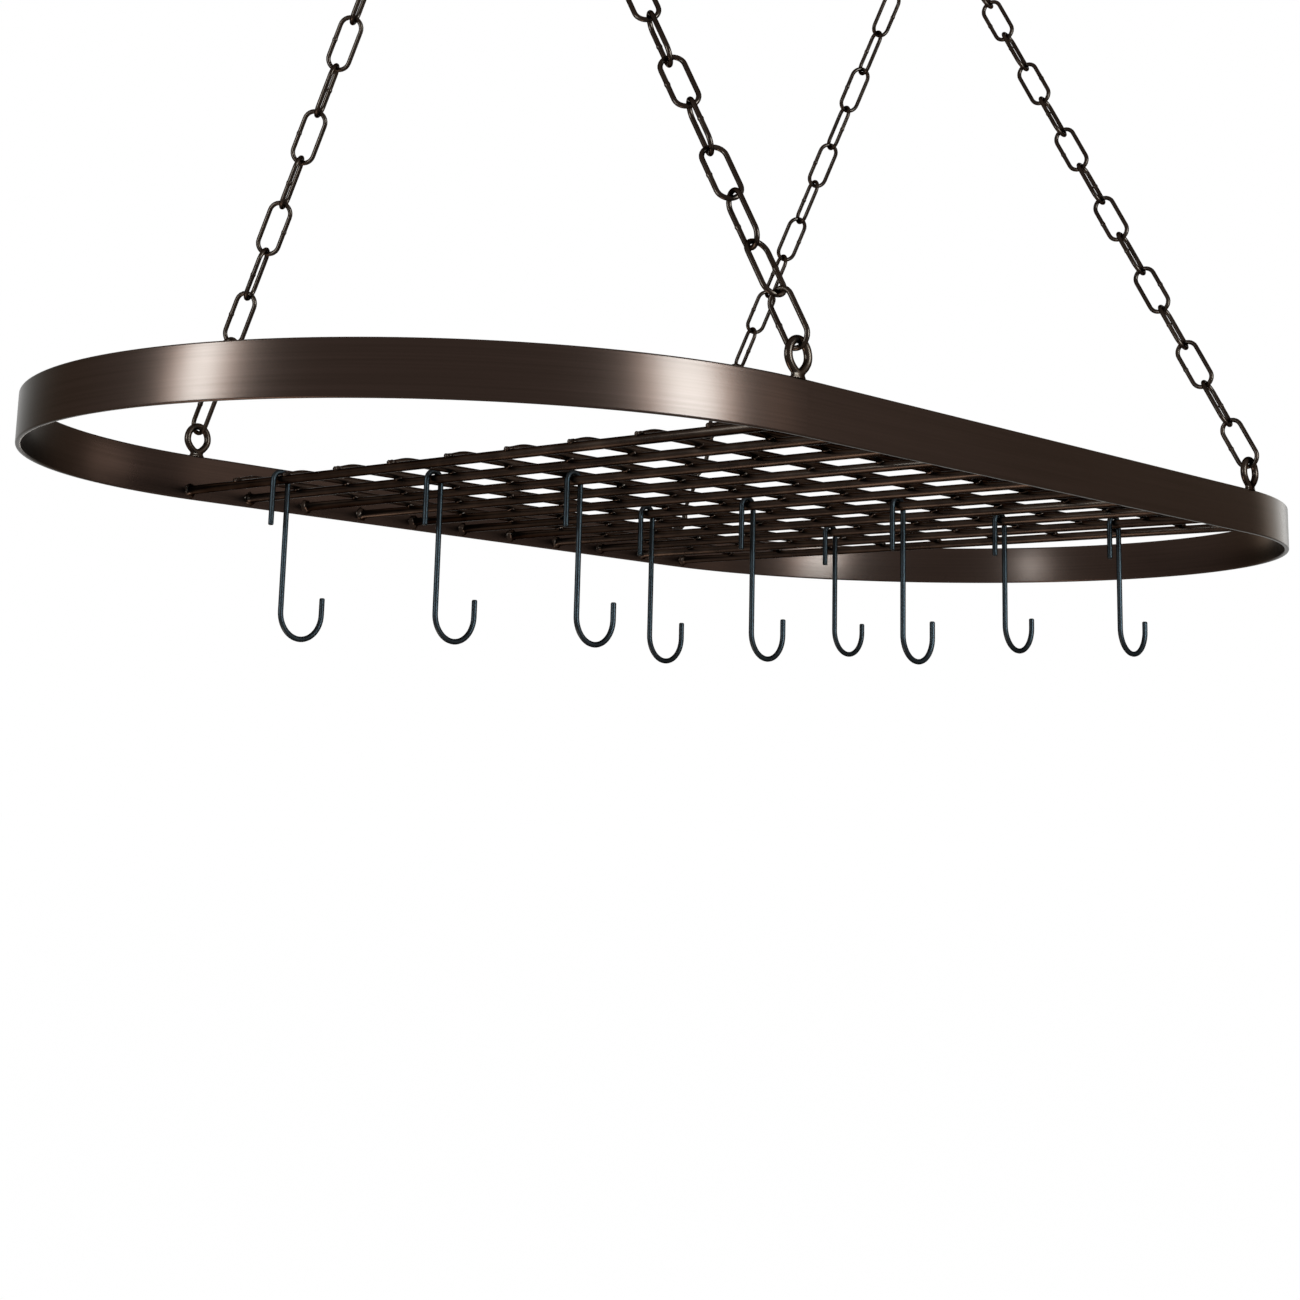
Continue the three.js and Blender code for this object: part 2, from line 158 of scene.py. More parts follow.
def arc(x, y, radius, start, end, steps):
    """Stations (x, y, heading, scale) along an arc, with angles in degrees."""
    turn = 1 if end > start else -1
    stations = []
    for i in range(steps + 1):
        angle = math.radians(start + (end - start) * i / steps)
        heading = angle + turn * math.pi / 2
        stations.append((x + radius * math.cos(angle), y + radius * math.sin(angle), heading, 1.0))
    return stations


def line(a, b, steps):
    """Stations strictly between two stations, along the straight that joins them."""
    stations = []
    for i in range(1, steps):
        t = i / steps
        stations.append((a[0] + (b[0] - a[0]) * t, a[1] + (b[1] - a[1]) * t, a[2], 1.0))
    return stations


def round_end(end, radius, forward):
    """A cut wire end with a rounded edge, going on from the station `end`."""
    steps, turn_degrees, depth, flat = 5, 80, 0.55, 0.45
    x, y, heading, _ = end
    stations = []
    for i in range(1, steps + 1):
        angle = math.radians(turn_degrees) * i / steps
        reach = forward * radius * depth * math.sin(angle)
        scale = flat + (1 - flat) * math.cos(angle)
        stations.append((x + reach * math.cos(heading), y + reach * math.sin(heading), heading, scale))
    return stations


def skin(rings, sides, closed=False, turned_over=False):
    """Faces over a tube of points, ring after ring, with caps unless its ends meet."""
    faces = []
    for ring in range(rings if closed else rings - 1):
        here, there = ring * sides, ((ring + 1) % rings) * sides
        for side in range(sides):
            after = (side + 1) % sides
            faces.append((here + side, there + side, there + after, here + after))
    if not closed:
        last = (rings - 1) * sides
        faces.append(tuple(range(sides)))
        faces.append(tuple(last + side for side in reversed(range(sides))))
    if turned_over:
        faces = [face[:1] + face[:0:-1] for face in faces]
    return faces


def wire(stations, radius, sides, place, closed=False):
    """Round wire through flat stations, as a closed shell: (verts, faces) in mm."""
    verts = []
    for x, y, heading, scale in stations:
        for cosine, sine in circle(sides):
            out = radius * scale * cosine
            point = (x + out * math.sin(heading), y - out * math.cos(heading), radius * scale * sine)
            verts.append(place @ Vector(point))
    return verts, skin(len(stations), sides, closed)


def turned(profile, sides, wobble=None):
    """Profile of (radius, height) turned round Z, closed where the radius is 0."""
    verts, faces, rings = [], [], []
    for radius, height in profile:
        if radius == 0:
            rings.append([len(verts)])
            verts.append(Vector((0, 0, height)))
            continue
        ring = []
        for cosine, sine in circle(sides):
            point = Vector((radius * cosine, radius * sine, height))
            ring.append(len(verts))
            verts.append(wobble(point) if wobble else point)
        rings.append(ring)
    for low, high in zip(rings[:-1], rings[1:]):
        for side in range(sides):
            after = (side + 1) % sides
            if len(low) == 1:
                faces.append((low[0], high[after], high[side]))
            elif len(high) == 1:
                faces.append((low[side], low[after], high[0]))
            else:
                faces.append((low[side], low[after], high[after], high[side]))
    return verts, faces


def joined(shells):
    """Several shells as one, still lying loose in each other."""
    verts, faces = [], []
    for shell_verts, shell_faces in shells:
        base = len(verts)
        verts.extend(shell_verts)
        faces.extend(tuple(base + i for i in face) for face in shell_faces)
    return verts, faces


def moved(shell, matrix):
    verts, faces = shell
    return [matrix @ v for v in verts], faces


def lumpy(seed, amount):
    """A function that pushes a point away from the Z axis, or towards it, by smooth noise."""
    stride, fineness = (13.7, 5.1, 2.3), 0.45
    offset = Vector([seed * c for c in stride])

    def wobble(point):
        push = noise.noise(point * fineness + offset) * amount
        return point + Vector((point.x, point.y, 0)).normalized() * push
    return wobble


def blob(centre, size, seed):
    """An uneven ball with that half size along each axis."""
    stride, fineness, amount = (3.1, 7.7, 1.9), 1.3, 0.35
    offset = Vector([seed * c for c in stride])
    bm = bmesh.new()
    bmesh.ops.create_icosphere(bm, subdivisions=3, radius=1.0)
    verts = []
    for vert in bm.verts:
        push = 1 + noise.noise(vert.co * fineness + offset) * amount
        verts.append(Vector(centre) + Vector([c * s * push for c, s in zip(vert.co, size)]))
    faces = [tuple(v.index for v in face.verts) for face in bm.faces]
    bm.free()
    return verts, faces


# ---------------------------------------------------------------- materials

EDGE_TINT = (0.49, 0.49, 0.48, 1)
WIRE_EDGE_TINT = (0.34, 0.33, 0.32, 1)
WHITE = (1, 1, 1, 1)


def new_material(name):
    material = bpy.data.materials.new(name)
    material.use_nodes = True
    tree = material.node_tree
    tree.nodes.clear()
    out = tree.nodes.new("ShaderNodeOutputMaterial")
    shader = tree.nodes.new("ShaderNodeBsdfPrincipled")
    tree.links.new(shader.outputs["BSDF"], out.inputs["Surface"])
    return material, tree, shader


def srgb(r, g, b):
    """A colour given as 0 to 255 on screen, in the linear values that sockets take."""
    def linear(c):
        c /= 255
        return c / 12.92 if c <= 0.04045 else ((c + 0.055) / 1.055) ** 2.4
    return (linear(r), linear(g), linear(b), 1.0)


def noise_node(tree, coords, scale, detail, stretch=(1, 1, 1)):
    mapping = tree.nodes.new("ShaderNodeMapping")
    mapping.inputs["Scale"].default_value = stretch
    tree.links.new(coords, mapping.inputs["Vector"])
    node = tree.nodes.new("ShaderNodeTexNoise")
    node.inputs["Scale"].default_value = scale
    node.inputs["Detail"].default_value = detail
    tree.links.new(mapping.outputs["Vector"], node.inputs["Vector"])
    return node.outputs["Fac"]


NOISE_LOW, NOISE_HIGH = 0.3, 0.7


def ramp(tree, fac, low, high):
    """Noise as a colour between two colours."""
    node = tree.nodes.new("ShaderNodeValToRGB")
    node.color_ramp.elements[0].position = NOISE_LOW
    node.color_ramp.elements[0].color = low
    node.color_ramp.elements[1].position = NOISE_HIGH
    node.color_ramp.elements[1].color = high
    tree.links.new(fac, node.inputs["Fac"])
    return node.outputs["Color"]


def spread(tree, fac, low, high):
    """Noise as a value between two values."""
    node = tree.nodes.new("ShaderNodeMapRange")
    node.inputs["From Min"].default_value = NOISE_LOW
    node.inputs["From Max"].default_value = NOISE_HIGH
    node.inputs["To Min"].default_value = low
    node.inputs["To Max"].default_value = high
    tree.links.new(fac, node.inputs["Value"])
    return node.outputs["Result"]


def bump(tree, fac, distance, strength):
    node = tree.nodes.new("ShaderNodeBump")
    node.inputs["Strength"].default_value = strength
    node.inputs["Distance"].default_value = distance
    tree.links.new(fac, node.inputs["Height"])
    return node.outputs["Normal"]


def strip_material():
    """Brushed oil-rubbed bronze, with fine brush lines along the strip."""
    material, tree, shader = new_material("strip_bronze")
    uv = tree.nodes.new("ShaderNodeTexCoord").outputs["UV"]
    lines = noise_node(tree, uv, scale=1.0, detail=2.0, stretch=(22, 5200, 1))
    broad = noise_node(tree, uv, scale=1.0, detail=2.0, stretch=(8, 900, 1))
    patina = noise_node(tree, uv, scale=14.0, detail=3.0)
    colour = ramp(tree, broad, srgb(44, 34, 29), srgb(49, 38, 33))
    tree.links.new(colour, shader.inputs["Base Color"])
    tree.links.new(spread(tree, patina, 0.27, 0.31), shader.inputs["Roughness"])
    shader.inputs["Metallic"].default_value = 1.0
    shader.inputs["Specular Tint"].default_value = EDGE_TINT
    shader.inputs["Anisotropic"].default_value = 0.5
    shader.inputs["Anisotropic Rotation"].default_value = 0.25
    tangent = tree.nodes.new("ShaderNodeTangent")
    tangent.direction_type = "UV_MAP"
    tangent.uv_map = "UVMap"
    tree.links.new(tangent.outputs["Tangent"], shader.inputs["Tangent"])
    tree.links.new(bump(tree, lines, distance=0.00003, strength=0.2), shader.inputs["Normal"])
    return material


def wire_material(name, dark, light, smoothest, roughest, patch_scale, patch_detail, grain, strength):
    """Satin metal on wire: slightly uneven colour and gloss, and a faint grain."""
    material, tree, shader = new_material(name)
    place = tree.nodes.new("ShaderNodeTexCoord").outputs["Object"]
    patches = noise_node(tree, place, patch_scale, patch_detail)
    fine = noise_node(tree, place, grain, detail=2.0)
    tree.links.new(ramp(tree, patches, dark, light), shader.inputs["Base Color"])
    tree.links.new(spread(tree, patches, smoothest, roughest), shader.inputs["Roughness"])
    shader.inputs["Metallic"].default_value = 1.0
    shader.inputs["Specular Tint"].default_value = WIRE_EDGE_TINT
    tree.links.new(bump(tree, fine, distance=0.00003, strength=strength), shader.inputs["Normal"])
    return material


def bronze_material(name, dark, light, rough, grain):
    """Oil-rubbed bronze on wire, a little smoother and rougher in patches than `rough`."""
    return wire_material(name, dark, light, smoothest=rough - 0.05, roughest=rough + 0.06,
                         patch_scale=60, patch_detail=3.0, grain=grain, strength=0.08)


def coating_material(name, dark, light):
    """Blue-grey coated steel with a faint orange peel."""
    return wire_material(name, dark, light, smoothest=0.36, roughest=0.46,
                         patch_scale=90, patch_detail=2.0, grain=1600, strength=0.12)


strip_bronze = strip_material()
rod_bronze = bronze_material("rod_bronze", srgb(31, 24, 20), srgb(44, 34, 28), rough=0.30, grain=500)
weld_bronze = bronze_material("weld_bronze", srgb(28, 22, 18), srgb(42, 32, 27), rough=0.30, grain=700)
chain_bronze = bronze_material("chain_bronze", srgb(32, 25, 21), srgb(43, 34, 28), rough=0.28, grain=400)
hook_coating = coating_material("hook_coating", srgb(26, 27, 28), srgb(33, 35, 36))

# ---------------------------------------------------------------- rim


def rim_sections():
    """(point, outward normal) round the middle of the strip, anticlockwise."""
    straight_steps, end_steps = 24, 96
    stops = []
    for end in (1, -1):
        for i in range(straight_steps):
            x = -rim_end_x + 2 * rim_end_x * i / straight_steps
            stops.append((Vector((end * x, -end * rim_middle, 0)), Vector((0, -end, 0))))
        for i in range(end_steps):
            angle = -end * math.pi / 2 + math.pi * i / end_steps
            normal = Vector((math.cos(angle), math.sin(angle), 0))
            point = (end * rim_end_x + rim_middle * normal.x, rim_middle * normal.y, 0)
            stops.append((Vector(point), normal))
    return stops


def strip_profile():
    """(distance outwards, height) round the strip's cross-section, with rounded edges."""
    edge, corner_steps = 0.9, 4
    half, low, high = RIM_THICKNESS / 2, rim_bottom_z, rim_top_z
    corners = [(half - edge, low + edge, -90), (half - edge, high - edge, 0),
               (-half + edge, high - edge, 90), (-half + edge, low + edge, 180)]
    profile = []
    for out, height, start in corners:
        for i in range(corner_steps + 1):
            angle = math.radians(start + 90 * i / corner_steps)
            profile.append((out + edge * math.cos(angle), height + edge * math.sin(angle)))
    return profile


def make_rim():
    """The strip, with its UV map in metres along it and across its section."""
    stops, profile = rim_sections(), strip_profile()
    verts = []
    for point, normal in stops:
        for out, height in profile:
            verts.append(point + normal * out + Vector((0, 0, height)))
    count, sides = len(stops), len(profile)
    rim = add_object("fine_rim", verts, skin(count, sides, closed=True))
    along, across = [0.0], [0.0]
    for i in range(count):
        along.append(along[-1] + (stops[(i + 1) % count][0] - stops[i][0]).length * MM)
    for i in range(sides):
        across.append(across[-1] + math.dist(profile[i], profile[(i + 1) % sides]) * MM)
    layer = rim.data.uv_layers.new(name="UVMap")
    loop = 0
    for ring in range(count):
        for side in range(sides):
            for du, dv in ((0, 0), (1, 0), (1, 1), (0, 1)):
                layer.data[loop].uv = (along[ring + du], across[side + dv])
                loop += 1
    finish_piece(rim, "rack", ["rim_band"], strip_bronze)


# ---------------------------------------------------------------- grid

ROD_SIDES = 20


def make_cross_rods():
    """Rods that end in an uneven bead of weld, each cut to the oval's width."""
    bead, bead_length, bead_curve, bead_lumps, sink = 4.3, 4.0, 2.2, 1.3, 0.3
    bead_stops = (0, 0.12, 0.25, 0.4, 0.55, 0.75, 1)
    for i in range(-CROSS_RODS_EACH_SIDE, CROSS_RODS_EACH_SIDE + 1):
        x = i * ROD_PITCH
        number = i + CROSS_RODS_EACH_SIDE + 1
        end = oval_half_width(rim_inner, abs(x) + cross_radius) + sink
        upper = [(0, end)]
        for t in bead_stops:
            radius = cross_radius + (bead - cross_radius) * (1 - t) ** bead_curve
            upper.append((radius, end - bead_length * t))
        lower = [(radius, -height) for radius, height in upper]
        middle = [(cross_radius, -end / 2), (cross_radius, 0), (cross_radius, end / 2)]
        rear_lumps, front_lumps = lumpy(number + 3, bead_lumps), lumpy(number, bead_lumps)

        def wobble(point, bare=end - bead_length, rear=rear_lumps, front=front_lumps):
            if abs(point.z) < bare:
                return point
            return rear(point) if point.z > 0 else front(point)

        place = Matrix.Translation((x, 0, cross_z)) @ ALONG_Y
        rod = moved(turned(lower + middle + upper[::-1], ROD_SIDES, wobble), place)
        obj = add_object(f"fine_cross_rod_{number:02d}", *rod)
        finish_piece(obj, "rack", [f"cross_rod_{number:02d}"], rod_bronze)


def long_rod_ring(along, end):
    """(x, radius, drop) of a long rod at x: its ends bend down and narrow."""
    into_bend = max(0.0, (abs(along) - (end - ROD_END_BEND)) / ROD_END_BEND)
    ease = into_bend * into_bend * (3 - 2 * into_bend)
    return along, long_radius + (ROD_END_RADIUS - long_radius) * ease ** 2, ROD_END_DIP * ease


def make_long_rods():
    """Rods set down on the cross rods, with a small bevel at each end."""
    bend_steps, straight_steps, bevel_length, bevel_share = 10, 20, 0.4, 0.6
    end = CROSS_RODS_EACH_SIDE * ROD_PITCH + LONG_ROD_OVERHANG
    straight = end - ROD_END_BEND
    bend = [straight + ROD_END_BEND * i / bend_steps for i in range(bend_steps + 1)]
    middle = [straight * (2 * i / straight_steps - 1) for i in range(1, straight_steps)]
    rings = [long_rod_ring(x, end) for x in [-x for x in reversed(bend)] + middle + bend]
    x, radius, drop = rings[-1]
    tip_x, tip_radius = x + bevel_length, radius * bevel_share
    rings = [(-tip_x, tip_radius, drop)] + rings + [(tip_x, tip_radius, drop)]
    faces = skin(len(rings), ROD_SIDES, turned_over=True)
    for i in range(-LONG_RODS_EACH_SIDE, LONG_RODS_EACH_SIDE + 1):
        verts = []
        for x, radius, drop in rings:
            height = long_z - LONG_ROD_SETTLE - drop
            for cosine, sine in circle(ROD_SIDES):
                verts.append(Vector((x, i * ROD_PITCH + radius * cosine, height + radius * sine)))
        number = i + LONG_RODS_EACH_SIDE + 1
        obj = add_object(f"fine_long_rod_{number}", verts, faces)
        finish_piece(obj, "rack", [f"long_rod_{number}"], rod_bronze)


def make_weld_spots():
    """A lump of weld where each long rod crosses a cross rod."""
    half_size, sink, seeds_a_rod = (2.6, 2.5, 1.6), 0.1, 17
    for i in range(-CROSS_RODS_EACH_SIDE, CROSS_RODS_EACH_SIDE + 1):
        shells = []
        for j in range(-LONG_RODS_EACH_SIDE, LONG_RODS_EACH_SIDE + 1):
            centre = (i * ROD_PITCH, j * ROD_PITCH, cross_z + cross_radius - sink)
            shells.append(blob(centre, half_size, i * seeds_a_rod + j))
        obj = add_object(f"weld_spots_{i + CROSS_RODS_EACH_SIDE + 1:02d}", *joined(shells))
        finish_piece(obj, "rack", [], weld_bronze)


# ---------------------------------------------------------------- eyes and chains

# Half profile of the weld under an eye: (radius, height over the ring's lowest point).
EYE_NECK = [(0, -0.8), (5.3, -0.8), (4.95, -0.2), (4.5, 0.6), (4.3, 1.5), (4.1, 2.5), (3.2, 3.4), (0, 3.8)]

# Places along a link's side, from its middle, that shape the swelling of its weld.
WELD_STOPS = (-6, -1.5, -1.0, -0.45, 0, 0.45, 1.0, 1.5, 6)


def remeshed(obj):
    """Joins an object's overlapping shells into one smooth skin."""
    voxel, smoothing, strength = 0.35, 6, 0.5
    remesh = obj.modifiers.new("remesh", "REMESH")
    remesh.mode = "VOXEL"
    remesh.voxel_size = voxel * MM
    remesh.use_smooth_shade = True
    smooth = obj.modifiers.new("smooth", "SMOOTH")
    smooth.factor = strength
    smooth.iterations = smoothing
    bpy.context.view_layer.update()
    evaluated = obj.evaluated_get(bpy.context.evaluated_depsgraph_get())
    mesh = bpy.data.meshes.new_from_object(evaluated)
    old = obj.data
    obj.modifiers.clear()
    obj.data = mesh
    bpy.data.meshes.remove(old)
    mesh.polygons.foreach_set("use_smooth", [True] * len(mesh.polygons))
    return obj


def teardrop(half_width, half_height, pinch, steps):
    """Stations round a ring whose lower half draws in to a blunt point."""
    points = []
    for cosine, sine in circle(steps):
        low = max(0.0, -sine)
        points.append((half_width * cosine * (1 - pinch * low * low), half_height * sine))
    stations = []
    for i, (x, y) in enumerate(points):
        before, after = points[i - 1], points[(i + 1) % steps]
        stations.append((x, y, math.atan2(after[1] - before[1], after[0] - before[0]), 1.0))
    return stations


def eye_shells(seed):
    """An eye's ring, and the uneven neck of weld that stands under it."""
    ring_steps, ring_sides, neck_sides, neck_lumps, neck_flatness = 56, 16, 28, 0.5, 0.42
    stations = teardrop(EYE_RING_HALF_WIDTH, eye_radius, EYE_PINCH, ring_steps)
    ring = wire(stations, eye_wire_radius, ring_sides, UPRIGHT, closed=True)
    bottom = -EYE_OUTER_DIAMETER / 2
    profile = [(radius, bottom + height) for radius, height in EYE_NECK]
    neck = turned(profile, neck_sides, lumpy(seed, neck_lumps))
    return joined([ring, moved(neck, Matrix.Diagonal((1, neck_flatness, 1, 1)))])


def link_turn(link, chain_roll):
    """Degrees that a link is turned about its chain: quarter turns and the chain's roll."""
    from_nearer_end = max(0, min(link, LINKS_PER_CHAIN - 2 - link))
    roll = min(abs(chain_roll), LINK_TWIST * from_nearer_end)
    return (90 if link % 2 == 0 else 0) + math.copysign(roll, chain_roll)


def make_link(link, chain_roll, place):
    """One welded link of the chain that rises from the origin of `place` along its Z axis.

    Half turns in an uneven order put the welds on either side of the chain.
    """
    bend_steps, side_steps, sides = 14, 4, 14
    weld_swell, weld_width = 0.2, 0.75
    top = link_centre_length - link_bend
    upper = arc(0, top, link_bend, 0, 180, bend_steps)
    lower = arc(0, link_bend, link_bend, 180, 360, bend_steps)
    welded_side = []
    for offset in WELD_STOPS:
        swell = 1 + weld_swell * math.exp(-(offset / weld_width) ** 2)
        welded_side.append((link_bend, (top + link_bend) / 2 + offset, math.pi / 2, swell))
    stations = upper + line(upper[-1], lower[0], side_steps) + lower + welded_side
    turn = Matrix.Rotation(math.radians(link_turn(link, chain_roll)), 4, "Z")
    half_turns = link * 7 // 3 % 2
    flip = Matrix.Rotation(math.pi * half_turns, 4, "Z")
    full = place @ Matrix.Translation((0, 0, link_start(link))) @ turn @ flip @ UPRIGHT
    return wire(stations, link_radius, sides, full, closed=True)


def make_chain(end, side):
    """The chain over one eye, in the CAD's runs of links, its top link, and the eye itself."""
    where = f"{'left' if end < 0 else 'right'}_{'front' if side < 0 else 'rear'}"
    body = "left_chains" if end < 0 else "right_chains"
    lean = Matrix.Rotation(side * chain_lean, 4, "X")
    place = Matrix.Translation((end * eye_x, side * eye_y, eye_wire_z)) @ lean
    last = LINKS_PER_CHAIN - 1
    for first in range(0, last, LINKS_PER_RUN):
        links = range(first, min(first + LINKS_PER_RUN, last))
        shells = [make_link(link, CHAIN_ROLL[where], place) for link in links]
        number = first // LINKS_PER_RUN + 1
        obj = add_object(f"fine_links_{where}_{number}", *joined(shells))
        finish_piece(obj, body, [f"chain_{where}_{number}"], chain_bronze)
    obj = add_object(f"fine_top_link_{where}", *make_link(last, CHAIN_ROLL[where], place))
    finish_piece(obj, "chain_tops", [f"top_link_{where}"], chain_bronze)

    seed = 3 * end + side
    shells = moved(eye_shells(seed), Matrix.Translation((end * eye_x, side * eye_y, eye_z)))
    eye = remeshed(add_object(f"fine_eye_{where}", *shells))
    finish_piece(eye, "rack", [f"eye_{where}"], chain_bronze)


# ---------------------------------------------------------------- ceiling hooks


def screw_shell():
    """The wood screw over a collar: a plain foot, a thread and a narrowing tip."""
    pitch, depth, sides, rows_a_turn = 1.9, 0.62, 28, 12
    foot_height, run_in, foot_share, foot_sink = 5, 2, 0.93, 0.5
    tip_length, tip_share, tip_curve, least_radius = SCREW_LENGTH * 0.25, 0.12, 0.8, 0.06
    ridge_half_width = 0.28
    radius = SCREW_DIAMETER / 2
    rows = int(SCREW_LENGTH / pitch * rows_a_turn)
    verts = []
    for row in range(rows + 1):
        height = SCREW_LENGTH * row / rows
        taper = min(1.0, (SCREW_LENGTH - height) / tip_length)
        narrowing = tip_share + (1 - tip_share) * taper ** tip_curve
        thread = min(1.0, max(0.0, (height - foot_height) / run_in))
        core = (radius - depth) * thread + radius * foot_share * (1 - thread)
        z = height if row else -foot_sink
        for side, (cosine, sine) in enumerate(circle(sides)):
            phase = (height / pitch - side / sides) % 1.0
            ridge = max(0.0, 1 - abs(phase - 0.5) / ridge_half_width)
            out = max(least_radius, (core + depth * ridge * thread) * narrowing)
            verts.append(Vector((out * cosine, out * sine, z)))
    return verts, skin(rows + 1, sides, turned_over=True)


def make_ceiling_hook(end):
    """A bent wire hook with its domed collar and its screw."""
    neck_steps, loop_steps, shank_steps, wire_sides = 12, 44, 3, 20
    dome_steps, dome_sides, dome_flat, dome_shoulder, dome_lip, dome_edge = 8, 48, 0.35, 0.55, 0.2, 0.15
    neck_angle = math.degrees(math.atan2(neck_drop, NECK_RADIUS))
    shank = (0, -COLLAR_THICKNESS / 2, -math.pi / 2, 1.0)
    neck = arc(NECK_RADIUS, neck_z, NECK_RADIUS, 180, 180 + neck_angle, neck_steps)
    loop = arc(0, loop_z, LOOP_RADIUS, neck_angle, TIP_ANGLE - 360, loop_steps)
    stations = [shank] + line(shank, neck[0], shank_steps) + neck + loop[1:]
    stations += round_end(loop[-1], hook_radius, 1)
    place = Matrix.Rotation(math.pi / 2, 4, "Z") @ UPRIGHT
    bent = wire(stations, hook_radius, wire_sides, place)
    collar = COLLAR_DIAMETER / 2
    dome = [(0, -COLLAR_THICKNESS), (collar * dome_flat, -COLLAR_THICKNESS)]
    for i in range(dome_steps + 1):
        angle = math.radians(90 * i / dome_steps)
        radius = collar * (dome_shoulder + (1 - dome_shoulder) * math.sin(angle))
        dome.append((radius, -COLLAR_THICKNESS * (dome_lip + (1 - dome_lip) * math.cos(angle))))
    dome += [(collar, -dome_edge), (collar - dome_edge, 0), (0, 0)]
    shell = joined([bent, turned(dome, dome_sides), screw_shell()])
    shell = moved(shell, Matrix.Translation((end * eye_x, 0, 0)))
    side = "left" if end < 0 else "right"
    obj = add_object(f"fine_ceiling_hook_{side}", *shell)
    finish_piece(obj, "ceiling", [f"ceiling_hook_{side}"], chain_bronze)


# ---------------------------------------------------------------- pan hooks


def make_pan_hooks():
    """Wire hooks that hang over the cross rods: back leg, narrow top, long leg and wide bay."""
    top_steps, bay_steps, back_steps, leg_steps, rise_steps, sides = 16, 26, 4, 10, 3, 14
    radius = PAN_WIRE / 2
    rounding = radius / 2
    end_room = radius + rounding
    top_radius, bay_radius = (PAN_TOP_WIDTH - PAN_WIRE) / 2, (PAN_BAY_WIDTH - PAN_WIRE) / 2
    crest = cross_radius + SEAT_GAP + radius
    side_room = long_radius + radius + PAN_SIDE_ROOM
    for number, (rod, gap, across, kind) in enumerate(PAN_PLACES, 1):
        bottom = crest + 2 * radius - kind["length"]
        back = (-top_radius, crest + end_room - kind["back"], math.pi / 2, 1.0)
        tip = (top_radius + 2 * bay_radius, bottom + kind["rise"] - end_room, math.pi / 2, 1.0)
        top = arc(0, crest - top_radius, top_radius, 180, 0, top_steps)
        bay = arc(top_radius + bay_radius, bottom + bay_radius, bay_radius, 180, 360, bay_steps)
        stations = round_end(back, radius, -1)[::-1] + [back] + line(back, top[0], back_steps) + top
        stations += line(top[-1], bay[0], leg_steps) + bay + line(bay[-1], tip, rise_steps)
        stations += [tip] + round_end(tip, radius, 1)
        y = gap * ROD_PITCH + side_room + across * (ROD_PITCH - 2 * side_room)
        place = Matrix.Translation((rod * ROD_PITCH, y, cross_z)) @ UPRIGHT
        obj = add_object(f"fine_pan_hook_{number}", *wire(stations, radius, sides, place))
        finish_piece(obj, f"pan_hook_{number}_body", [f"pan_hook_{number}"], hook_coating)


make_rim()
make_cross_rods()
make_long_rods()
make_weld_spots()
for end in (-1, 1):
    make_ceiling_hook(end)
    for side in (-1, 1):
        make_chain(end, side)
make_pan_hooks()

# ---------------------------------------------------------------- background

WORLD_LIGHT = 0.55
WORLD_SEEN = 1.0
FLOOR_HALF_SIZE, FLOOR_Z = 60000, -2400
FLOOR_COLOUR, FLOOR_ROUGHNESS = (0.82, 0.82, 0.82, 1), 0.9
FLOOR_GLOW, FLOOR_GLOW_SHARE = 1.056, 0.9


def seen_directly(tree):
    """1 for camera, glossy and transmission rays, which see plain white, and else 0."""
    path = tree.nodes.new("ShaderNodeLightPath")
    seen = tree.nodes.new("ShaderNodeMath")
    seen.operation = "MAXIMUM"
    both = tree.nodes.new("ShaderNodeMath")
    both.operation = "MAXIMUM"
    tree.links.new(path.outputs["Is Camera Ray"], seen.inputs[0])
    tree.links.new(path.outputs["Is Glossy Ray"], seen.inputs[1])
    tree.links.new(seen.outputs[0], both.inputs[0])
    tree.links.new(path.outputs["Is Transmission Ray"], both.inputs[1])
    return both.outputs[0]


def make_world():
    """A world that lights the rack at a plain level and is seen as white."""
    world = bpy.data.worlds.new("studio")
    bpy.context.scene.world = world
    world.use_nodes = True
    tree = world.node_tree
    tree.nodes.clear()
    out = tree.nodes.new("ShaderNodeOutputWorld")
    mix = tree.nodes.new("ShaderNodeMixShader")
    lit = tree.nodes.new("ShaderNodeBackground")
    lit.inputs["Color"].default_value = WHITE
    lit.inputs["Strength"].default_value = WORLD_LIGHT
    white = tree.nodes.new("ShaderNodeBackground")
    white.inputs["Color"].default_value = WHITE
    white.inputs["Strength"].default_value = WORLD_SEEN
    tree.links.new(seen_directly(tree), mix.inputs["Fac"])
    tree.links.new(lit.outputs[0], mix.inputs[1])
    tree.links.new(white.outputs[0], mix.inputs[2])
    tree.links.new(mix.outputs[0], out.inputs["Surface"])


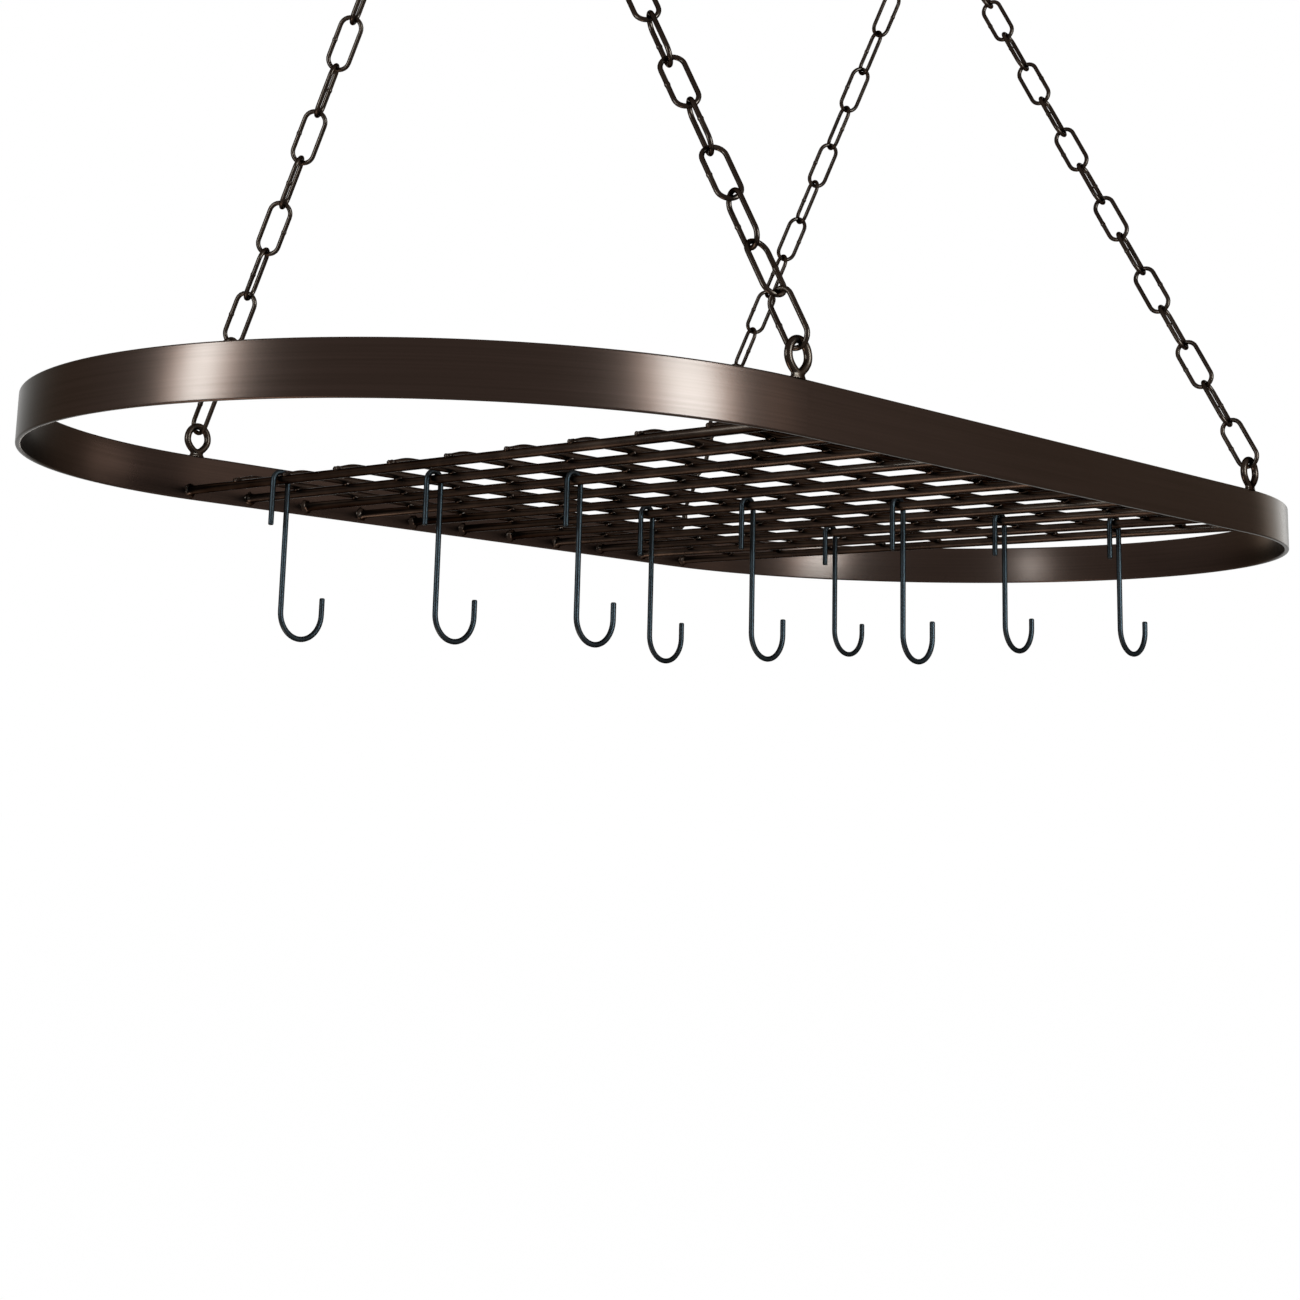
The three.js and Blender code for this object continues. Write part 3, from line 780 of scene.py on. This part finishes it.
def make_floor():
    """A wide pale floor that is seen as white, apart from the rack's faint shadow."""
    corners = [(-1, -1), (1, -1), (1, 1), (-1, 1)]
    verts = [(x * FLOOR_HALF_SIZE, y * FLOOR_HALF_SIZE, FLOOR_Z) for x, y in corners]
    floor = add_object("floor", verts, [(0, 1, 2, 3)], smooth=False)
    material, tree, shader = new_material("pale_floor")
    shader.inputs["Base Color"].default_value = FLOOR_COLOUR
    shader.inputs["Roughness"].default_value = FLOOR_ROUGHNESS
    glow = tree.nodes.new("ShaderNodeEmission")
    glow.inputs["Color"].default_value = WHITE
    glow.inputs["Strength"].default_value = FLOOR_GLOW
    mix = tree.nodes.new("ShaderNodeMixShader")
    share = tree.nodes.new("ShaderNodeMath")
    share.operation = "MULTIPLY"
    share.inputs[1].default_value = FLOOR_GLOW_SHARE
    tree.links.new(seen_directly(tree), share.inputs[0])
    tree.links.new(share.outputs[0], mix.inputs["Fac"])
    tree.links.new(shader.outputs["BSDF"], mix.inputs[1])
    tree.links.new(glow.outputs[0], mix.inputs[2])
    out = next(node for node in tree.nodes if node.type == "OUTPUT_MATERIAL")
    tree.links.new(mix.outputs[0], out.inputs["Surface"])
    floor.data.materials.append(material)


make_world()
make_floor()

# ---------------------------------------------------------------- lamps, in metres and watts

WIDE_COLOUR = (1.0, 0.9, 0.8)
CORE_COLOUR = (0.46, 0.79, 1.0)
CORE_AHEAD = 0.02
LEFT_END = (-0.41, -0.065, -0.45)


def softbox(name, at, target, width, height, power, colour=(1, 1, 1)):
    light = bpy.data.lights.new(name, "AREA")
    light.shape = "RECTANGLE"
    light.size, light.size_y = width, height
    light.energy = power
    light.color = colour
    obj = bpy.data.objects.new(name, light)
    bpy.context.scene.collection.objects.link(obj)
    obj.location = at
    obj.rotation_euler = (Vector(target) - Vector(at)).to_track_quat("-Z", "Y").to_euler()
    obj.visible_camera = False


def highlight_light(name, at, target, wide, core, height, wide_power, core_power):
    """A wide dim softbox with a narrow bright one just in front of it."""
    nearer = Vector(at) + (Vector(target) - Vector(at)).normalized() * CORE_AHEAD
    softbox(name + "_wide", at, target, wide, height, wide_power, WIDE_COLOUR)
    softbox(name + "_core", nearer, target, core, height, core_power, CORE_COLOUR)


highlight_light("light_left", at=(-0.877, 0.114, -0.361), target=LEFT_END,
                wide=0.19, core=0.095, height=0.36, wide_power=2.9, core_power=7)
highlight_light("light_front", at=(-0.038, -1.137, -0.28), target=(-0.27, -0.2, -0.45),
                wide=0.48, core=0.28, height=0.6, wide_power=12, core_power=32)
softbox("light_right", at=(1.27, -0.26, -0.33), target=(0.25, -0.21, -0.45),
        width=0.5, height=0.5, power=2.2)
softbox("light_low", at=(-0.67, 0.41, -1.44), target=LEFT_END,
        width=0.5, height=0.5, power=10, colour=WIDE_COLOUR)
softbox("light_far", at=(2.0, -2.8, -0.02), target=(-0.1, 0.2, -0.45),
        width=0.75, height=1.5, power=6, colour=WIDE_COLOUR)
softbox("light_back", at=(2.0, 3.0, -0.1), target=(0.36, -0.14, -0.45),
        width=0.8, height=1.2, power=8, colour=WIDE_COLOUR)

# ---------------------------------------------------------------- camera

CAMERA_AT = (-0.9297, -0.7774, -0.6087)
CAMERA_FORWARD = (0.70573, 0.68005, 0.19867)
CAMERA_ROLL = 0.0313


def make_camera():
    camera = bpy.data.cameras.new("camera")
    camera.lens = 59.524
    camera.sensor_fit = "HORIZONTAL"
    camera.sensor_width = 36
    camera.shift_x = 0.05594
    camera.shift_y = -0.23805
    camera.clip_end = 100
    obj = bpy.data.objects.new("camera", camera)
    bpy.context.scene.collection.objects.link(obj)
    forward = Vector(CAMERA_FORWARD).normalized()
    right = forward.cross(Vector((0, 0, 1))).normalized()
    up = right.cross(forward)
    across_image = right * math.cos(CAMERA_ROLL) + up * math.sin(CAMERA_ROLL)
    up_image = up * math.cos(CAMERA_ROLL) - right * math.sin(CAMERA_ROLL)
    turn = Matrix((across_image, up_image, -forward)).transposed()
    obj.matrix_world = Matrix.Translation(CAMERA_AT) @ turn.to_4x4()
    bpy.context.scene.camera = obj


make_camera()
bpy.context.scene.view_settings.view_transform = "Standard"
